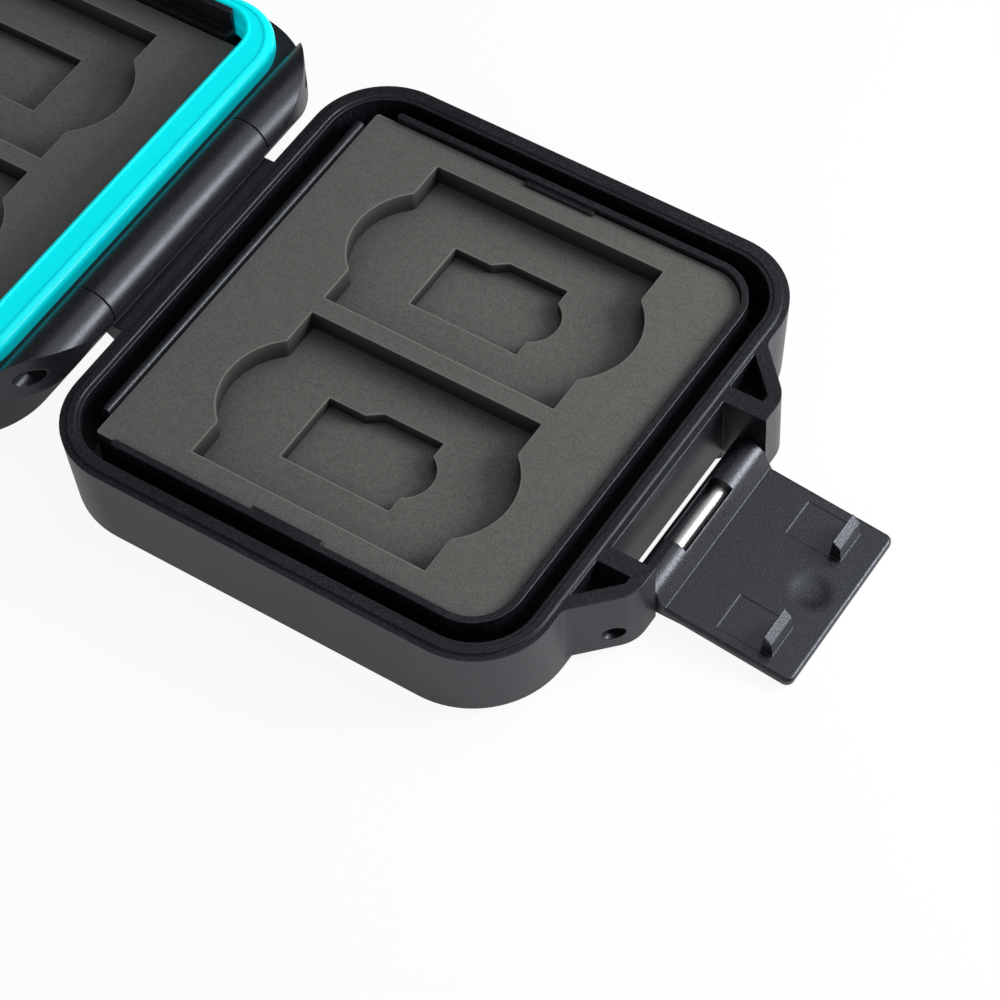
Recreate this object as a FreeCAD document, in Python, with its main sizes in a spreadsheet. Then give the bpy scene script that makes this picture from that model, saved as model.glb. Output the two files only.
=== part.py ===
"""Hinged, sealed pocket case for memory cards, lying open with base and lid side by side.

Frame: +X runs from the hinge to the latch, +Z is up, the origin is the middle of the base's underside.
The lid is drawn in the base's own frame, hinge on the -X side, and its Placement turns it half round
about Z beyond the hinge axis, so that both trays share one outline.
"""
import FreeCAD, Part
import Sketcher
import math
import os
from types import SimpleNamespace

Vector = FreeCAD.Vector
Rotation = FreeCAD.Rotation

SIZES = {
    # Foam insert and its card pockets
    "sd_length": 32.0,
    "sd_width": 24.0,
    "sd_spacing": 2.66,
    "sd_sheet": 2.9,
    "sd_scoop_radius": 9.15,
    "sd_scoop_depth": 3.13,
    "sd_scoop_blend": 0.8,
    "microsd_length": 15.0,
    "microsd_width": 11.2,
    "microsd_neck": 9.87,
    "microsd_neck_length": 5.0,
    "microsd_slant": 1.8,
    "microsd_along": 7.6,
    "microsd_across": 6.4,
    "microsd_sheet": 1.6,
    "microsd_scoop_radius": 3.9,
    "microsd_scoop_depth": 1.97,
    "backing_sheet": 4.1,
    "foam_hinge_margin": 11.24,
    "foam_latch_margin": 10.8,
    "foam_side_margin": 3.57,
    "foam_clear": 0.06,
    # Shell of both trays
    "corner_radius": 10.0,
    "bottom_chamfer": 0.6,
    "rim_wall": 2.4,
    "base_floor": 2.0,
    "base_rim_rise": 0.4,
    "lid_rim_rise": 1.35,
    "closed_gap": 2.75,
    # Sealing bead on the base's rim
    "land_width": 0.85,
    "bead_width": 1.0,
    "bead_height": 0.3,
    "bead_step": 0.15,
    # Walls that hold the foam
    "channel_width": 2.14,
    "inner_wall": 0.9,
    "inner_wall_rise": 0.35,
    "inner_wall_start": 8.9,
    "inner_wall_end_round": 0.4,
    "inner_corner": 5.3,
    "hinge_rib_inset": 4.9,
    "hinge_rib": 1.1,
    "hinge_rib_short": 2.8,
    "hinge_rib_crest": 0.45,
    "tab_length": 9.6,
    "tab_reach": 0.76,
    "tab_thickness": 0.35,
    "tab_clear": 0.02,
    "lid_wall_drop": 0.45,
    "tongue_gap": 1.05,
    "tongue": 0.9,
    "tongue_rise": 2.75,
    # Seal ring
    "seal_inset": 0.8,
    "seal_corner_trim": 1.2,
    "seal_overhang": 0.55,
    "seal_head_clear": 0.3,
    "seal_fit": 0.05,
    "seal_clear": 0.05,
    "seal_stem": 1.85,
    "seal_outer_round": 1.2,
    "seal_inner_round": 0.5,
    "seal_groove_outer": 1.25,
    "seal_groove_inner": 0.6,
    "seal_groove_depth": 0.12,
    "seal_hinge_corner": 5.0,
    # Hinge
    "hinge_offset": 3.85,
    "hinge_rise": 2.0,
    "barrel_radius": 3.1,
    "knuckle_length": 30.9,
    "knuckle_gap": 0.15,
    "web_drop": 4.0,
    "lug_inset": 0.6,
    "lug_round": 14.8,
    "hinge_pin_diameter": 2.5,
    "hinge_pin_grip": 10.05,
    "pin_fit": 0.02,
    "running_fit": 0.05,
    "pin_chamfer": 0.25,
    # Latch ears and the lid's catch ledge
    "ear_length": 5.66,
    "ear_lift": 1.8,
    "ear_end_wall": 1.85,
    "ear_pocket_bite": 0.5,
    "ear_pocket_depth": 4.6,
    "ledge_reach": 3.4,
    "bay_relief_rise": 1.85,
    "bay_relief_reach": 0.95,
    # Latch
    "latch_pin_offset": 3.8,
    "latch_pin_height": 4.4,
    "latch_pin_diameter": 2.0,
    "latch_pin_grip": 4.04,
    "latch_side_clear": 0.26,
    "latch_barrel_radius": 2.2,
    "latch_tip": 3.5,
    "latch_plate": 1.3,
    "latch_drop": 0.56,
    "latch_corner": 1.0,
    "latch_edge_round": 0.45,
    "latch_crease": 2.9,
    "latch_slope_start": 1.89,
    "latch_slope_rise": 1.13,
    "latch_window_side": 1.4,
    "latch_window_floor": 0.25,
    "latch_rest_angle": 7.2,
    "hook_distance": 14.53,
    "hook_height": 2.8,
    "hook_length": 1.47,
    "hook_slant_length": 1.09,
    "hook_slant_drop": 0.88,
    "hook_clear": 0.15,
    "core_mark_depth": 0.06,
    "core_mark_margin": 0.35,
    "core_mark_length": 5.6,
    "dish_radius": 2.4,
    "dish_depth": 0.32,
    "dish_core": 1.2,
    "dish_middle": 15.2,
    "dish_rim_round": 5.0,
}

# The latch's share of the case width, and shares of the latch's width
LATCH_SHARE = 0.343
WINDOW_SHARE = 0.4325
HOOK_SHARE = 0.1945
HOOK_EDGE_SHARE = 0.0784
# Shares of the run from the latch bay to the corner's round, across the case
EAR_ROOT_SHARE = 0.8055
EAR_TIP_SHARE = 0.332
EAR_INNER_WALL_SHARE = 0.19
EAR_SLANT_WALL_SHARE = 0.146
EAR_VALLEY_SHARE = 0.13
EAR_ROUND_SHARE = 0.365
CORNER_FLARE_SHARE = 0.14
# Share of the bay relief's sides by which its cutter runs on past the wall
RELIEF_OVERRUN = 0.3

# Overlap that joins two solids of one piece, and overshoot of a cutting solid
BITE = 0.3
OVER = 5.0
TOUCH = 1e-4


class Size:
    """A length together with the sheet expression that gives it."""

    def __init__(self, value, text):
        self.value = value
        self.text = text

    def __add__(self, other):
        other = as_size(other)
        return Size(self.value + other.value, f"({self.text} + {other.text})")

    def __sub__(self, other):
        other = as_size(other)
        return Size(self.value - other.value, f"({self.text} - {other.text})")

    def __mul__(self, other):
        other = as_size(other)
        return Size(self.value * other.value, f"({self.text} * {other.text})")

    def __truediv__(self, other):
        other = as_size(other)
        return Size(self.value / other.value, f"({self.text} / {other.text})")

    def __neg__(self):
        return Size(-self.value, f"(0 - {self.text})")

    def __radd__(self, other):
        return as_size(other) + self

    def __rsub__(self, other):
        return as_size(other) - self

    def __rmul__(self, other):
        return as_size(other) * self


def as_size(number):
    """Plain numbers become sizes with their own text."""
    return number if isinstance(number, Size) else Size(float(number), repr(float(number)))


def root(size):
    """Square root of a size."""
    return Size(math.sqrt(size.value), f"sqrt({size.text})")


def least(first, second):
    """The smaller of two sizes."""
    return Size(min(first.value, second.value), f"min({first.text}; {second.text})")


doc = FreeCAD.newDocument("memory_card_case")
sheet = doc.addObject("Spreadsheet::Sheet", "sizes")
for row, (alias, number) in enumerate(SIZES.items(), 1):
    sheet.set(f"A{row}", alias.replace("_", " "))
    sheet.set(f"B{row}", str(number))
    sheet.setAlias(f"B{row}", alias)
doc.recompute()
d = SimpleNamespace(**{alias: Size(number, f"sizes.{alias}") for alias, number in SIZES.items()})


# Sizes that follow from the driving ones

wall_inset = d.rim_wall + d.channel_width
tongue_inset = d.rim_wall + d.tongue_gap
foam_side = wall_inset + d.inner_wall
foam_length = d.foam_hinge_margin + d.sd_length + d.foam_latch_margin
foam_width = 2 * (d.sd_width + d.foam_side_margin) + d.sd_spacing
foam_height = d.backing_sheet + d.microsd_sheet + d.sd_sheet
rib_inner = d.hinge_rib_inset + d.hinge_rib
case_length = foam_length + rib_inner + foam_side + 2 * d.foam_clear
case_width = foam_width + 2 * (foam_side + d.foam_clear)
end_x = case_length / 2
side_y = case_width / 2
base_foam_top = d.base_floor + foam_height
base_height = base_foam_top + d.base_rim_rise
base_wall_top = base_height + d.inner_wall_rise
hinge_x = -(end_x + d.hinge_offset)
hinge_z = base_height + d.hinge_rise
lid_height = 2 * hinge_z - base_height - d.closed_gap
lid_floor = lid_height - d.lid_rim_rise - foam_height
lid_wall_top = lid_height - d.lid_wall_drop
seal_height = d.closed_gap - d.bead_height - d.seal_clear
knuckle_y = d.knuckle_length / 2
lug_y = knuckle_y + d.knuckle_gap
latch_x = end_x + d.latch_pin_offset
latch_z = d.latch_pin_height
latch_width = case_width * LATCH_SHARE
latch_length = d.hook_distance + d.hook_length + d.latch_tip
ear_x = end_x + d.ear_length
ear_inner = latch_width / 2 + d.latch_side_clear
ear_run = side_y - d.corner_radius - ear_inner
ear_root = ear_inner + ear_run * EAR_ROOT_SHARE
ear_tip = ear_inner + ear_run * EAR_TIP_SHARE
pocket_x = rib_inner + d.foam_clear + d.foam_hinge_margin - end_x
ledge_top = latch_z + d.hook_distance - d.hook_clear
ledge_under = 2 * hinge_z - ledge_top


# Drawing helpers

def bind(item, path, size):
    """Tie one property of a document object to the sheet."""
    item.setExpression(path, as_size(size).text)


def new_body(name):
    """An empty body that carries its name as label."""
    body = doc.addObject("PartDesign::Body", name)
    body.Label = name
    return body


def new_sketch(body, name, plane="XY_Plane", level=0.0):
    """A sketch on one of the body's own planes, lifted along the plane's normal."""
    sketch = body.newObject("Sketcher::SketchObject", name)
    support = next(item for item in body.Origin.OriginFeatures if item.Role == plane)
    sketch.AttachmentSupport = (support, [""])
    sketch.MapMode = "FlatFace"
    bind(sketch, "AttachmentOffset.Base.z", level)
    return sketch


def pin_point(sketch, line, end, point):
    """Hold one end of a line at a bound distance from the origin."""
    for kind, size in zip(("DistanceX", "DistanceY"), point):
        index = sketch.addConstraint(Sketcher.Constraint(kind, -1, 1, line, end, size.value))
        bind(sketch, f"Constraints[{index}]", size)


def heading(start, end):
    """Direction of a straight run, as plain numbers."""
    run = Vector(end[0].value - start[0].value, end[1].value - start[1].value, 0)
    return run.normalize()


def outline(sketch, corners):
    """Closed outline through (x, y) or (x, y, radius) corners, drawn counter-clockwise.

    A corner with a radius joins two runs along X and Y and becomes a tangent arc.
    """
    corners = [tuple(as_size(value) for value in corner) for corner in corners]
    count = len(corners)
    joints = []
    for index, corner in enumerate(corners):
        inward = heading(corners[index - 1], corner)
        outward = heading(corner, corners[(index + 1) % count])
        if len(corner) == 2:
            joints.append((corner, corner, None, inward, outward))
            continue
        x, y, radius = corner
        arrive = (x - radius * inward.x, y - radius * inward.y)
        leave = (x + radius * outward.x, y + radius * outward.y)
        joints.append((arrive, leave, radius, inward, outward))
    first = sketch.GeometryCount
    for index in range(count):
        leave = joints[index][1]
        arrive = joints[(index + 1) % count][0]
        sketch.addGeometry(Part.LineSegment(Vector(leave[0].value, leave[1].value, 0),
                                            Vector(arrive[0].value, arrive[1].value, 0)), False)
    for index, (arrive, leave, radius, inward, outward) in enumerate(joints):
        line_in = first + (index - 1) % count
        line_out = first + index
        pin_point(sketch, line_out, 1, leave)
        if radius is None:
            sketch.addConstraint(Sketcher.Constraint("Coincident", line_in, 2, line_out, 1))
            continue
        pin_point(sketch, line_in, 2, arrive)
        left_turn = inward.cross(outward).z > 0
        side = 1 if left_turn else -1
        centre = Vector(arrive[0].value - side * radius.value * inward.y,
                        arrive[1].value + side * radius.value * inward.x, 0)
        spokes = [(x.value - centre.x, y.value - centre.y) for x, y in (arrive, leave)]
        angles = [math.atan2(rise, run) for run, rise in spokes]
        start, end = angles if left_turn else reversed(angles)
        circle = Part.Circle(centre, Vector(0, 0, 1), radius.value)
        arc = sketch.addGeometry(Part.ArcOfCircle(circle, start, end), False)
        ends = (1, 2) if left_turn else (2, 1)
        sketch.addConstraint(Sketcher.Constraint("Coincident", arc, ends[0], line_in, 2))
        sketch.addConstraint(Sketcher.Constraint("Coincident", arc, ends[1], line_out, 1))
        index = sketch.addConstraint(Sketcher.Constraint("Radius", arc, radius.value))
        bind(sketch, f"Constraints[{index}]", radius)


def rectangle(sketch, x_range, y_range, radius=None):
    """Outline of a rectangle, with the same round on all corners if one is given."""
    left, right = x_range
    low, high = y_range
    corners = [(left, low), (right, low), (right, high), (left, high)]
    outline(sketch, corners if radius is None else [corner + (radius,) for corner in corners])


def inset_rectangle(sketch, inset):
    """Outline of the case at one inset from its side walls."""
    x = end_x - inset
    y = side_y - inset
    rectangle(sketch, (-x, x), (-y, y), d.corner_radius - inset)


def circle(sketch, radius, centre=None):
    """Full circle with a bound radius, about the origin or a bound centre."""
    middle = Vector(0, 0, 0) if centre is None else Vector(centre[0].value, centre[1].value, 0)
    ring = sketch.addGeometry(Part.Circle(middle, Vector(0, 0, 1), radius.value), False)
    if centre is None:
        sketch.addConstraint(Sketcher.Constraint("Coincident", ring, 3, -1, 1))
    else:
        pin_point(sketch, ring, 3, centre)
    index = sketch.addConstraint(Sketcher.Constraint("Radius", ring, radius.value))
    bind(sketch, f"Constraints[{index}]", radius)


def pad(body, sketch, length, symmetric=False):
    """Raise a sketch along its normal, or evenly to both sides."""
    feature = body.newObject("PartDesign::Pad", sketch.Name + "_pad")
    feature.Profile = sketch
    if symmetric:
        feature.SideType = "Symmetric"
    bind(feature, "Length", length)
    doc.recompute()
    return feature


def pocket(body, sketch, depth, symmetric=False):
    """Sink a sketch into the body, against its normal, or evenly to both sides."""
    before = body.Shape.Volume
    feature = body.newObject("PartDesign::Pocket", sketch.Name + "_pocket")
    feature.Profile = sketch
    if symmetric:
        feature.SideType = "Symmetric"
    bind(feature, "Length", depth)
    doc.recompute()
    if not body.Shape.Volume < before:
        raise ValueError(f"{sketch.Name} cuts nothing")
    return feature


def box_cut(body, name, x_range, y_range, z_range):
    """Cut a box out of the body."""
    feature = body.newObject("PartDesign::SubtractiveBox", name)
    for prop, axis, (low, high) in zip(("Length", "Width", "Height"), "xyz", (x_range, y_range, z_range)):
        bind(feature, prop, as_size(high) - low)
        bind(feature, f"Placement.Base.{axis}", low)
    doc.recompute()
    return feature


def round_edges(body, name, radius, wanted):
    """Round every edge of the body's latest feature that the test picks."""
    base = body.Tip
    edges = [f"Edge{number}" for number, edge in enumerate(base.Shape.Edges, 1) if wanted(edge)]
    if not edges:
        raise ValueError(f"{name} finds no edge")
    feature = body.newObject("PartDesign::Fillet", name)
    feature.Base = (base, edges)
    bind(feature, "Radius", radius)
    doc.recompute()
    return feature


def upright_at(places):
    """Test for upright edges that stand on one of the (x, y) places."""
    spots = [(as_size(x).value, as_size(y).value) for x, y in places]

    def wanted(edge):
        box = edge.BoundBox
        upright = box.XLength < TOUCH and box.YLength < TOUCH
        return upright and any(abs(box.XMin - x) < TOUCH and abs(box.YMin - y) < TOUCH for x, y in spots)

    return wanted


def flat_at(level):
    """Test for edges that lie in the horizontal plane at one level."""
    height = as_size(level).value

    def wanted(edge):
        return abs(edge.BoundBox.ZMin - height) < TOUCH and abs(edge.BoundBox.ZMax - height) < TOUCH

    return wanted


def mirrored(points):
    """The points and their images across the XZ plane."""
    return [(x, y) for x, y in points] + [(x, -y) for x, y in points]


def boolean(kind, name, shapes):
    """Join (Part::MultiFuse), keep the overlap (Part::MultiCommon) or cut the second from the first."""
    item = doc.addObject(kind, name)
    if kind == "Part::Cut":
        item.Base, item.Tool = shapes
    else:
        item.Shapes = shapes
    item.Label = name
    doc.recompute()
    return item


def cross_bore(name, x, z, diameter, length):
    """Cylinder along Y through (x, z), centred on the XZ plane."""
    item = doc.addObject("Part::Cylinder", name)
    bind(item, "Radius", diameter / 2)
    bind(item, "Height", length)
    item.Placement = FreeCAD.Placement(Vector(0, 0, 0), Rotation(Vector(1, 0, 0), -90))
    bind(item, "Placement.Base.x", x)
    bind(item, "Placement.Base.y", -length / 2)
    bind(item, "Placement.Base.z", z)
    doc.recompute()
    return item


# Shells

def tray_block(name, height):
    """Solid block of one tray: corners rounder at the foot, chamfered lower edge, and two latch ears."""
    body = new_body(name)
    foot_corner = d.corner_radius + ear_run * CORNER_FLARE_SHARE
    sections = [("foot", 0.0, d.bottom_chamfer, foot_corner - d.bottom_chamfer),
                ("hem", d.bottom_chamfer, 0.0, foot_corner), ("rim", height, 0.0, d.corner_radius)]
    plans = []
    for section, level, inset, corner in sections:
        plan = new_sketch(body, f"{name}_{section}", level=level)
        x, y = end_x - inset, side_y - inset
        outline(plan, [(-x, -y, corner), (x, -y, corner), (x, y, corner), (-x, y, corner)])
        plans.append(plan)
    loft = body.newObject("PartDesign::AdditiveLoft", f"{name}_block")
    loft.Profile = plans[0]
    loft.Sections = plans[1:]
    loft.Ruled = True
    doc.recompute()
    ears = new_sketch(body, f"{name}_ears", level=d.ear_lift)
    inside_x = end_x - d.rim_wall / 2
    outline(ears, [(inside_x, ear_inner), (ear_x, ear_inner), (ear_x, ear_tip), (end_x, ear_root),
                   (inside_x, ear_root)])
    outline(ears, [(inside_x, -ear_root), (end_x, -ear_root), (ear_x, -ear_tip), (ear_x, -ear_inner),
                   (inside_x, -ear_inner)])
    pad(body, ears, height - d.ear_lift)
    valley = upright_at(mirrored([(end_x, ear_root)]))
    round_edges(body, f"{name}_valleys", ear_run * EAR_VALLEY_SHARE, valley)
    tip = upright_at(mirrored([(ear_x, ear_tip)]))
    round_edges(body, f"{name}_ear_tips", ear_run * EAR_ROUND_SHARE, tip)
    return body


def add_ear_pockets(body, height):
    """Three-cornered coring pockets in the ears, open at the rim."""
    slope = (ear_root - ear_tip) / d.ear_length
    shift = ear_run * EAR_SLANT_WALL_SHARE * root(1 + slope * slope)
    near_x = end_x - d.ear_pocket_bite
    far_x = ear_x - d.ear_end_wall
    low_y = ear_inner + ear_run * EAR_INNER_WALL_SHARE
    near_y = ear_root + slope * d.ear_pocket_bite - shift
    far_y = ear_root - slope * (far_x - end_x) - shift
    sketch = new_sketch(body, f"{body.Name}_ear_pockets", level=height)
    outline(sketch, [(near_x, low_y), (far_x, low_y), (far_x, far_y), (near_x, near_y)])
    outline(sketch, [(near_x, -near_y), (far_x, -far_y), (far_x, -low_y), (near_x, -low_y)])
    pocket(body, sketch, d.ear_pocket_depth)


def hollow(name, floor, height):
    """Solid that cuts the inside of a tray, from its floor up through the rim."""
    body = new_body(name)
    sketch = new_sketch(body, f"{name}_plan", level=floor)
    inset_rectangle(sketch, d.rim_wall)
    pad(body, sketch, height - floor + OVER)
    return body


def u_wall(body, name, floor, top, outer, inner):
    """Wall along the two sides and the latch end, between two insets from the case outline."""
    start = d.inner_wall_start - end_x
    outer_x, outer_y = end_x - outer, side_y - outer
    inner_x, inner_y = end_x - inner, side_y - inner
    outer_round = d.inner_corner + (foam_side - outer)
    inner_round = d.inner_corner + (foam_side - inner)
    tip = d.inner_wall_end_round
    sketch = new_sketch(body, name, level=floor - BITE)
    outline(sketch, [(start, -outer_y, tip), (outer_x, -outer_y, outer_round),
                     (outer_x, outer_y, outer_round), (start, outer_y, tip),
                     (start, inner_y, tip), (inner_x, inner_y, inner_round),
                     (inner_x, -inner_y, inner_round), (start, -inner_y, tip)])
    pad(body, sketch, top - floor + BITE)


def hinge_rib(name, floor, top):
    """Straight rib that holds the foam on the hinge side, with a rounded crest."""
    body = new_body(name)
    left = d.hinge_rib_inset - end_x
    sketch = new_sketch(body, f"{name}_plan", level=floor - BITE)
    half = foam_width / 2 - d.hinge_rib_short
    rectangle(sketch, (left, left + d.hinge_rib), (-half, half))
    pad(body, sketch, top - floor + BITE)

    def along_crest(edge):
        return flat_at(top)(edge) and edge.BoundBox.YLength > TOUCH

    round_edges(body, f"{name}_crest", d.hinge_rib_crest, along_crest)
    return body


# Base shell

base_block = tray_block("base_block", base_height)
bead = new_sketch(base_block, "base_bead", level=base_height)
inset_rectangle(bead, d.land_width)
pad(base_block, bead, d.bead_height)
add_ear_pockets(base_block, base_height)
relief = new_sketch(base_block, "base_bay_relief", "XZ_Plane")
run_on_x = d.bay_relief_reach * RELIEF_OVERRUN
run_on_z = d.bay_relief_rise * RELIEF_OVERRUN
outline(relief, [(end_x - d.bay_relief_reach - run_on_x, -run_on_z), (end_x + run_on_x, -run_on_z),
                 (end_x + run_on_x, d.bay_relief_rise + run_on_z)])
pocket(base_block, relief, latch_width, symmetric=True)

base_knuckle = new_body("base_knuckle")
barrel = new_sketch(base_knuckle, "base_barrel", "XZ_Plane")
circle(barrel, d.barrel_radius, (hinge_x, hinge_z))
pad(base_knuckle, barrel, d.knuckle_length, symmetric=True)
web = new_sketch(base_knuckle, "base_web", "XZ_Plane")
outline(web, [(hinge_x, hinge_z - d.barrel_radius), (-end_x + BITE, base_height - d.web_drop),
              (-end_x + BITE, base_height), (hinge_x, base_height)])
pad(base_knuckle, web, d.knuckle_length, symmetric=True)

base_hollow = hollow("base_hollow", d.base_floor, base_height)
step = new_sketch(base_hollow, "base_bead_step", level=base_height + d.bead_step)
inset_rectangle(step, d.land_width + d.bead_width)
pad(base_hollow, step, OVER)

base_wall = new_body("base_wall")
u_wall(base_wall, "base_wall_plan", d.base_floor, base_wall_top, wall_inset, foam_side)
tab_y = side_y - foam_side
tabs = new_sketch(base_wall, "base_tabs", level=base_foam_top + d.tab_clear)
tab_x = d.tab_length / 2
rectangle(tabs, (-tab_x, tab_x), (tab_y - d.tab_reach, tab_y + d.inner_wall / 2))
rectangle(tabs, (-tab_x, tab_x), (-(tab_y + d.inner_wall / 2), -(tab_y - d.tab_reach)))
pad(base_wall, tabs, d.tab_thickness)
base_rib = hinge_rib("base_rib", d.base_floor, base_wall_top)

base_solid = boolean("Part::MultiFuse", "base_solid", [base_block, base_knuckle])
base_tray = boolean("Part::Cut", "base_tray", (base_solid, base_hollow))
base_joined = boolean("Part::MultiFuse", "base_joined", [base_tray, base_wall, base_rib])
base_bores = boolean("Part::MultiFuse", "base_bores", [
    cross_bore("base_hinge_bore", hinge_x, hinge_z, d.hinge_pin_diameter + 2 * d.running_fit, case_width),
    cross_bore("base_latch_bore", latch_x, latch_z, d.latch_pin_diameter + 2 * d.pin_fit, case_width)])
base_shell = boolean("Part::Cut", "base_shell", (base_joined, base_bores))


# Lid shell, drawn like the base with its hinge on the -X side

lid_block = tray_block("lid_block", lid_height)
ledge = new_sketch(lid_block, "lid_ledge", level=ledge_under)
ledge_y = ear_inner + BITE
rectangle(ledge, (end_x - d.rim_wall / 2, end_x + d.ledge_reach), (-ledge_y, ledge_y))
pad(lid_block, ledge, lid_height - ledge_under)
add_ear_pockets(lid_block, lid_height)

lug_plan = new_body("lug_plan")
lug_sketch = new_sketch(lug_plan, "lug_plan_outline", level=hinge_z - d.barrel_radius)
lug_far_x = hinge_x - d.barrel_radius
lug_near_x = d.corner_radius - end_x
lug_side = side_y - d.lug_inset
# The round leaves a straight stretch as long as the barrel's radius beside the knuckle
lug_round = least(d.lug_round, lug_side - lug_y - d.barrel_radius)
outline(lug_sketch, [(lug_far_x, lug_y), (lug_near_x, lug_y), (lug_near_x, lug_side),
                     (lug_far_x, lug_side, lug_round)])
outline(lug_sketch, [(lug_far_x, -lug_side, lug_round), (lug_near_x, -lug_side), (lug_near_x, -lug_y),
                     (lug_far_x, -lug_y)])
pad(lug_plan, lug_sketch, 2 * d.barrel_radius)

lug_profile = new_body("lug_profile")
lug_barrel = new_sketch(lug_profile, "lug_barrel", "XZ_Plane")
circle(lug_barrel, d.barrel_radius, (hinge_x, hinge_z))
pad(lug_profile, lug_barrel, case_width, symmetric=True)
lug_web = new_sketch(lug_profile, "lug_web", "XZ_Plane")
rectangle(lug_web, (hinge_x, lug_near_x + BITE), (hinge_z - d.barrel_radius, lid_height))
pad(lug_profile, lug_web, case_width, symmetric=True)
lid_lugs = boolean("Part::MultiCommon", "lid_lugs", [lug_plan, lug_profile])

lid_hollow = hollow("lid_hollow", lid_floor, lid_height)
lid_wall = new_body("lid_wall")
u_wall(lid_wall, "lid_wall_plan", lid_floor, lid_wall_top, tongue_inset, foam_side)
u_wall(lid_wall, "lid_tongue_plan", lid_wall_top, lid_height + d.tongue_rise, tongue_inset,
       tongue_inset + d.tongue)
lid_rib = hinge_rib("lid_rib", lid_floor, lid_wall_top)

lid_solid = boolean("Part::MultiFuse", "lid_solid", [lid_block, lid_lugs])
lid_tray = boolean("Part::Cut", "lid_tray", (lid_solid, lid_hollow))
lid_joined = boolean("Part::MultiFuse", "lid_joined", [lid_tray, lid_wall, lid_rib])
lid_bore = cross_bore("lid_hinge_bore", hinge_x, hinge_z, d.hinge_pin_diameter + 2 * d.pin_fit, case_width)
lid_shell = boolean("Part::Cut", "lid_shell", (lid_joined, lid_bore))


# Seal ring on the lid's rim: a head on the land and a stem in the channel

seal_ring = new_body("seal_ring")
seal_inner_x = end_x - tongue_inset + d.seal_fit
seal_inner_y = side_y - tongue_inset + d.seal_fit
seal_hinge_x = d.hinge_rib_inset - d.seal_fit - end_x
seal_corner = d.inner_corner + (foam_side - tongue_inset) + d.seal_fit
seal_outer_corner = d.corner_radius - d.seal_inset - d.seal_corner_trim


def seal_outside(sketch, margin=0.0):
    """Outer outline of the ring's head, drawn in by a margin."""
    x = end_x - d.seal_inset - margin
    y = side_y - d.seal_inset - margin
    rectangle(sketch, (-x, x), (-y, y), seal_outer_corner - margin)


def seal_opening(sketch, overhang=0.0, margin=0.0):
    """Inner outline of the ring.

    The hinge side reaches over the lid's rib by the overhang, the others keep off its tongue by a margin.
    """
    hinge_end = seal_hinge_x + overhang
    latch_end = seal_inner_x + margin
    y = seal_inner_y + margin
    hinge_corner = d.seal_hinge_corner - overhang
    latch_corner = seal_corner + margin
    outline(sketch, [(hinge_end, -y, hinge_corner), (latch_end, -y, latch_corner),
                     (latch_end, y, latch_corner), (hinge_end, y, hinge_corner)])


head = new_sketch(seal_ring, "seal_head", level=lid_height)
seal_outside(head)
seal_opening(head, d.seal_overhang, d.seal_head_clear)
pad(seal_ring, head, seal_height)
seal_top = lid_height + seal_height


def outer_rim(edge):
    """Upper outer edge of the ring, on or beyond the middle of its head."""
    box = edge.BoundBox
    reach = max(abs(box.XMin), abs(box.XMax)) - end_x.value, max(abs(box.YMin), abs(box.YMax)) - side_y.value
    return flat_at(seal_top)(edge) and max(reach) > -d.rim_wall.value


def inner_rim(edge):
    """Upper inner edge of the ring."""
    return flat_at(seal_top)(edge) and not outer_rim(edge)


round_edges(seal_ring, "seal_outer_edge", d.seal_outer_round, outer_rim)
round_edges(seal_ring, "seal_inner_edge", d.seal_inner_round, inner_rim)
groove = new_sketch(seal_ring, "seal_groove", level=seal_top)
seal_outside(groove, d.seal_groove_outer)
seal_opening(groove, d.seal_overhang - d.seal_groove_inner, d.seal_head_clear + d.seal_groove_inner)
pocket(seal_ring, groove, d.seal_groove_depth)
stem = new_sketch(seal_ring, "seal_stem_plan", level=lid_height - d.seal_stem)
inset_rectangle(stem, d.rim_wall + d.seal_fit)
seal_opening(stem)
pad(seal_ring, stem, d.seal_stem)


# Latch, drawn about its pin with the plate along +X

latch = new_body("latch")
plate_top = -d.latch_drop
plate_bottom = plate_top - d.latch_plate
latch_round = new_sketch(latch, "latch_barrel", "XZ_Plane")
circle(latch_round, d.latch_barrel_radius)
pad(latch, latch_round, latch_width, symmetric=True)
plate = new_sketch(latch, "latch_plate_profile", "XZ_Plane")
outline(plate, [(BITE, -d.latch_barrel_radius), (d.latch_crease, plate_bottom),
                (latch_length, plate_bottom), (latch_length, plate_top), (d.latch_crease, plate_top),
                (d.latch_slope_start, d.latch_slope_rise), (BITE, d.latch_slope_rise)])
pad(latch, plate, latch_width, symmetric=True)
round_edges(latch, "latch_corners", d.latch_corner,
            upright_at(mirrored([(latch_length, latch_width / 2)])))


def free_end(edge):
    """Edges round the plate's free end."""
    middle = edge.BoundBox.Center
    level = edge.BoundBox.ZLength < TOUCH
    return level and middle.x > (latch_length - d.latch_corner).value


round_edges(latch, "latch_end_round", d.latch_edge_round, free_end)

hook = new_sketch(latch, "latch_hooks", "XZ_Plane")
hook_top = plate_top + d.hook_height
outline(hook, [(d.hook_distance, plate_top - BITE), (d.hook_distance + d.hook_length, plate_top - BITE),
               (d.hook_distance + d.hook_length, plate_top),
               (d.hook_distance + d.hook_slant_length, hook_top - d.hook_slant_drop),
               (d.hook_distance, hook_top)])
hook_far_y = latch_width / 2 - latch_width * HOOK_EDGE_SHARE
hook_near_y = hook_far_y - latch_width * HOOK_SHARE
window_y = latch_width / 2 * WINDOW_SHARE
pad(latch, hook, 2 * hook_far_y, symmetric=True)
box_cut(latch, "latch_hook_gap", (d.hook_distance - OVER, d.hook_distance + d.hook_length + OVER),
        (-hook_near_y, hook_near_y), (plate_top, hook_top + OVER))
box_cut(latch, "latch_window", (-d.latch_window_side, d.latch_window_side), (-window_y, window_y),
        (-d.latch_window_floor, OVER))


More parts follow.
